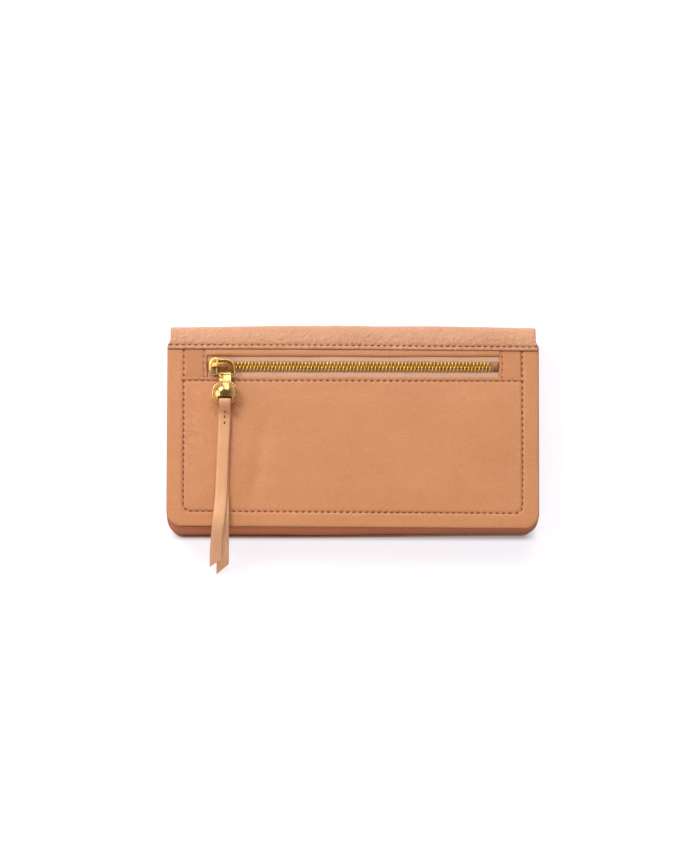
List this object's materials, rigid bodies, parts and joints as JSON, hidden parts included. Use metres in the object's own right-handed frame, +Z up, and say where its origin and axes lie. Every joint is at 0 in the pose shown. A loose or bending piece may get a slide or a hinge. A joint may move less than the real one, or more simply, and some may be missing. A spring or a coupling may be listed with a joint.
{
  "type": "long wallet",
  "caption": "Long flap wallet lying closed on its flap, with a zipped back pocket, a ring, ball and lace pull, bill compartments, card slots, a coin pocket and a snap.",
  "frame": {"origin": "under the middle of the closed wallet, on the surface it lies on, without the lace tails", "axes": "+X along the wallet to the closed end of the back zip, +Y to the fold of the flap, +Z up out of the back panel"},
  "size_m": [0.1966, 0.1318, 0.0334],
  "materials": {
    "tan_leather": "pebbled",
    "slot_leather": "smooth",
    "lining_cloth": "woven",
    "board": "matt",
    "zip_tape": "woven",
    "brass": "polished",
    "lace_leather": "smooth",
    "thread": "matt"
  },
  "bodies": {
    "flap": {"flap_outer": "tan_leather", "flap_board": "board", "flap_lining": "lining_cloth", "flap_card_slot_1": "slot_leather", "flap_card_slot_2": "slot_leather", "flap_card_slot_3": "slot_leather", "snap_stud": "brass"},
    "spine": {"flap_spine": "tan_leather", "spine_lining": "lining_cloth"},
    "back": {"flap_hem": "tan_leather", "back_panel": "tan_leather", "upper_welt": "tan_leather", "zip_tab_left": "tan_leather", "zip_tab_right": "tan_leather", "zip_tape_upper": "zip_tape", "zip_tape_lower": "zip_tape", "zip_teeth_upper": "brass", "zip_teeth_lower": "brass", "zip_bottom_stop": "brass", "zip_top_stops": "brass", "pocket_lining_rear": "lining_cloth", "pocket_lining_front": "lining_cloth", "back_edge_boards": "board", "back_inner_lining": "lining_cloth", "bottom_gusset": "tan_leather", "gusset_left": "tan_leather", "gusset_right": "tan_leather"},
    "front": {"front_panel": "tan_leather", "front_lining": "lining_cloth", "card_slot_1": "slot_leather", "card_slot_2": "slot_leather", "card_slot_3": "slot_leather", "card_slot_4": "slot_leather", "snap_socket": "brass"},
    "divider": {"coin_wall_front": "lining_cloth", "coin_wall_rear": "lining_cloth", "coin_binding": "slot_leather", "coin_tape_upper": "zip_tape", "coin_tape_lower": "zip_tape", "coin_teeth_upper": "brass", "coin_teeth_lower": "brass"},
    "slider": {"zip_slider": "brass", "zip_slider_bridge": "brass"},
    "ring": {"pull_ring": "brass"},
    "ball": {"ball_charm": "brass", "charm_loop": "brass", "strap_loop": "lace_leather"},
    "lace": {"strap_front_tail": "lace_leather", "strap_rear_tail": "lace_leather", "strap_stitches": "thread"},
    "coin_slider": {"coin_slider": "brass", "coin_slider_bridge": "brass"},
    "coin_pull": {"coin_pull": "brass"}
  },
  "joints": [
    {"name": "spine_fold", "type": "hinge", "parent": "flap", "child": "spine", "pos_m": [0, 0.05356, 0.00219], "axis": [-1, 0, 0], "range_deg": [0, 90]},
    {"name": "cover_fold", "type": "hinge", "parent": "spine", "child": "back", "pos_m": [0, 0.05356, 0.02181], "axis": [-1, 0, 0], "range_deg": [0, 90]},
    {"name": "front_fan", "type": "hinge", "parent": "back", "child": "front", "pos_m": [0, -0.054, 0.0076], "axis": [-1, 0, 0], "range_deg": [0, 12], "deforming": ["gusset_left", "gusset_right"]},
    {"name": "divider_fan", "type": "hinge", "parent": "back", "child": "divider", "pos_m": [0, -0.0524, 0.0135], "axis": [-1, 0, 0], "range_deg": [0, 6]},
    {"name": "back_zip_slide", "type": "slide", "parent": "back", "child": "slider", "axis": [1, 0, 0], "range_m": [0, 0.135]},
    {"name": "ring_swing", "type": "hinge", "parent": "slider", "child": "ring", "pos_m": [-0.07195, 0.032, 0.0263], "axis": [0, -1, 0], "range_deg": [0, 45]},
    {"name": "ball_swing", "type": "hinge", "parent": "ring", "child": "ball", "pos_m": [-0.0676, 0.0269, 0.0263], "axis": [-1, 0, 0], "range_deg": [0, 90]},
    {"name": "lace_swing", "type": "hinge", "parent": "ball", "child": "lace", "pos_m": [-0.0676, 0.006, 0.0272], "axis": [-1, 0, 0], "range_deg": [0, 45]},
    {"name": "coin_zip_slide", "type": "slide", "parent": "divider", "child": "coin_slider", "axis": [1, 0, 0], "range_m": [0, 0.14]},
    {"name": "coin_pull_swing", "type": "hinge", "parent": "coin_slider", "child": "coin_pull", "pos_m": [-0.0765, 0.028, 0.01015], "axis": [0, 1, 0], "range_deg": [0, 7]}
  ],
  "couplings": [
    {"joint": "spine_fold", "follows": "cover_fold", "ratio": 1},
    {"joint": "front_fan", "follows": "cover_fold", "ratio": 0.13333},
    {"joint": "divider_fan", "follows": "cover_fold", "ratio": 0.066667}
  ]
}
